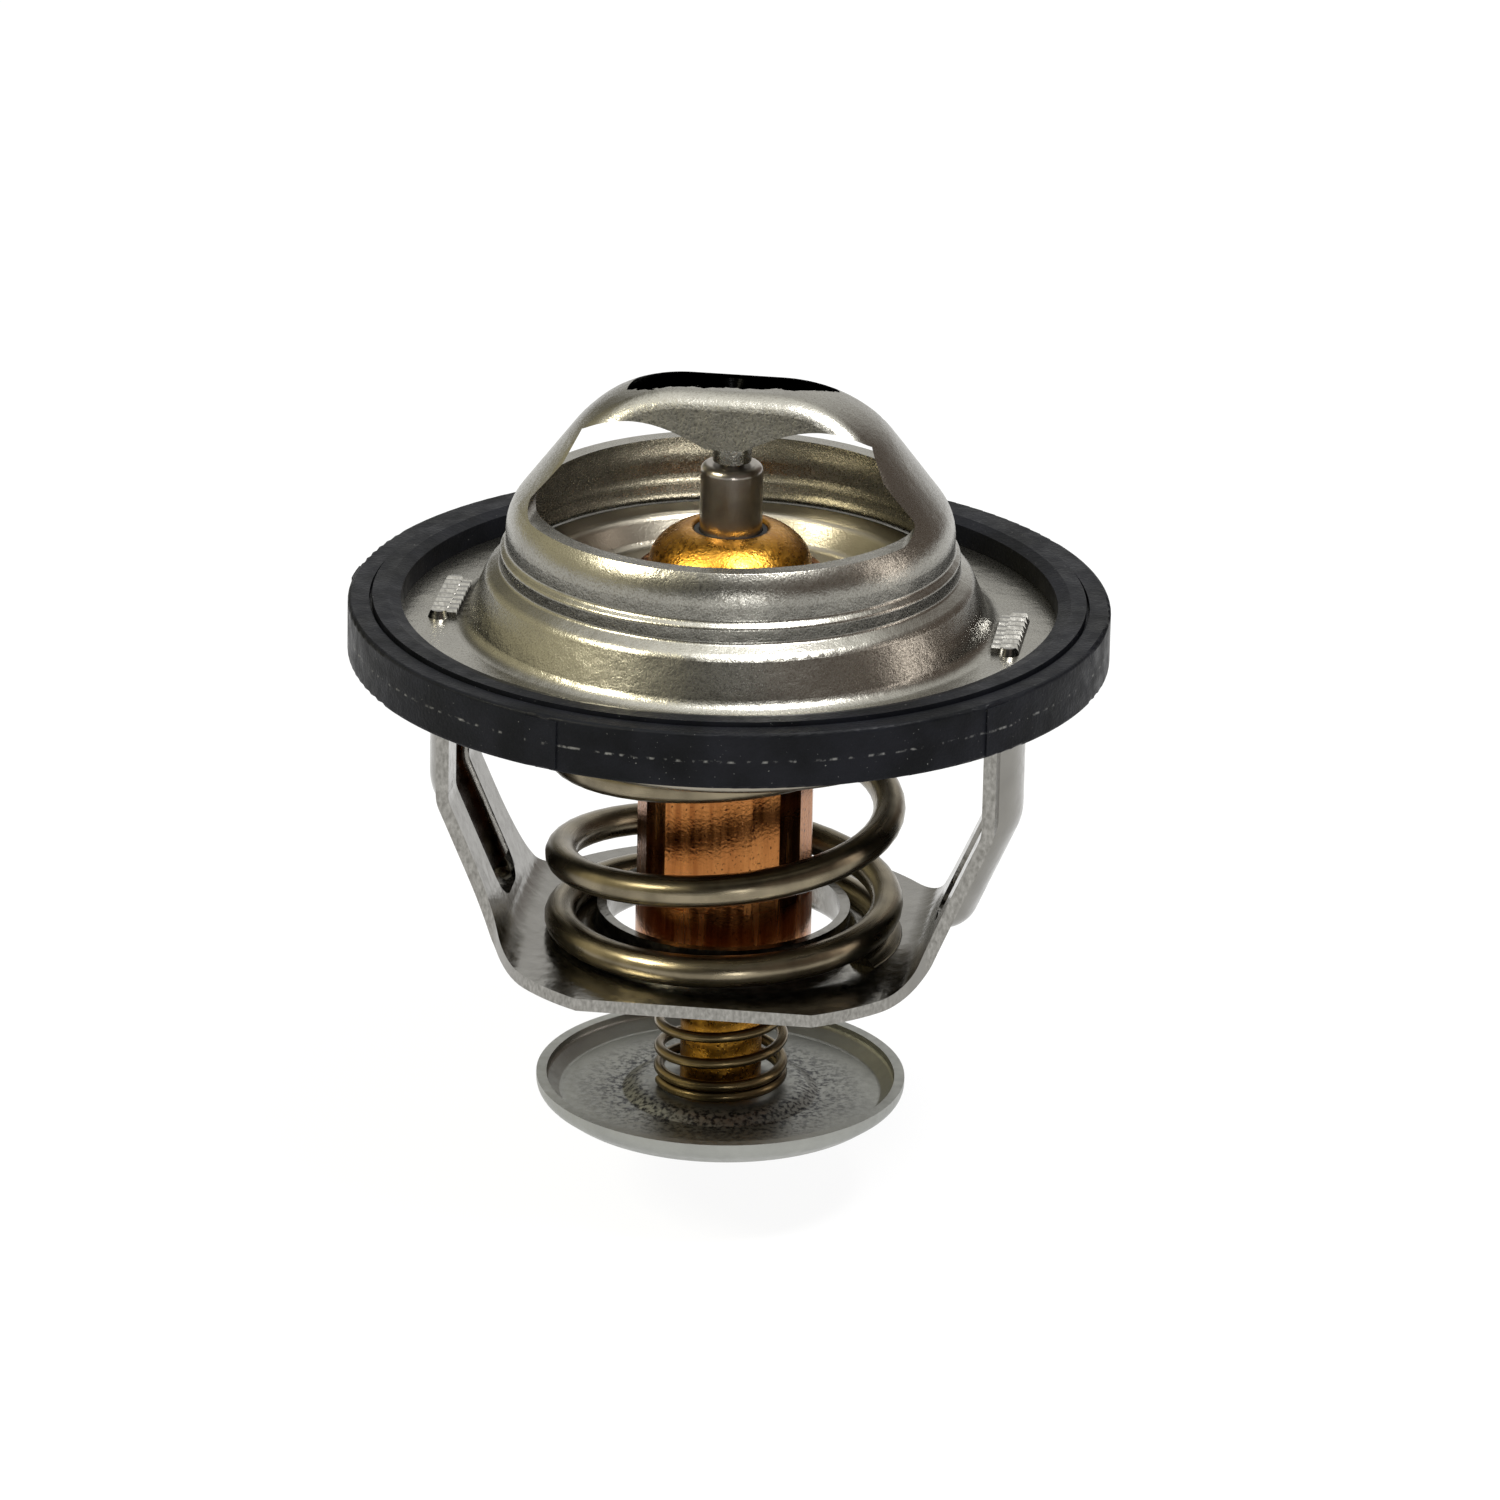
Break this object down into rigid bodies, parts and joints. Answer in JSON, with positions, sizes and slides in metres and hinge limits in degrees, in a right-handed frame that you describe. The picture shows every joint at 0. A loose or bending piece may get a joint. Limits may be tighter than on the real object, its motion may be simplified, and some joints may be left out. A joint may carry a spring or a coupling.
{
  "type": "engine thermostat",
  "caption": "Two-stage wax engine thermostat with a bridge, rubber rim seal, main valve and spring, copper wax cup and sprung bypass disc.",
  "frame": {"origin": "on the axis, half way up the rubber rim seal", "axes": "+Z along the axis towards the bridge, arms of the bridge and of the lower frame along +X and -X"},
  "size_m": [0.0591, 0.059, 0.0596],
  "materials": {
    "satin_stainless": "satin",
    "seal_rubber": "matte",
    "frame_steel": "bright, with drawn channels",
    "valve_steel": "satin",
    "piston_steel": "polished",
    "spring_steel": "bright drawn wire",
    "bypass_spring_steel": "bronze-brown drawn wire",
    "cover_brass": "grainy",
    "cup_copper": "browned copper",
    "inner_rubber": "matte",
    "backing_plastic": "matte",
    "wax": "waxy",
    "clip_steel": "plain",
    "disc_steel": "satin, mottled round the centre"
  },
  "bodies": {
    "frame": {"bridge_frame": "satin_stainless", "gasket": "seal_rubber", "lower_frame": "frame_steel", "piston": "piston_steel", "main_spring": "spring_steel"},
    "element": {"main_valve": "valve_steel", "element_cover": "cover_brass", "wiper_seal": "inner_rubber", "boot": "inner_rubber", "backing_ring": "backing_plastic", "wax_charge": "wax", "wax_cup": "cup_copper", "bypass_stem": "cover_brass", "stem_clip": "clip_steel", "bypass_spring": "bypass_spring_steel"},
    "bypass": {"bypass_valve": "disc_steel"}
  },
  "joints": [
    {"name": "valve_lift", "type": "slide", "parent": "frame", "child": "element", "axis": [0, 0, -1], "range_m": [0, 0.008], "stiffness_N_per_m": 3000, "springref_m": -0.01, "deforming": ["main_spring"]},
    {"name": "bypass_slide", "type": "slide", "parent": "element", "child": "bypass", "axis": [0, 0, 1], "range_m": [0, 0.004], "stiffness_N_per_m": 1500, "springref_m": -0.004, "deforming": ["bypass_spring"]}
  ]
}
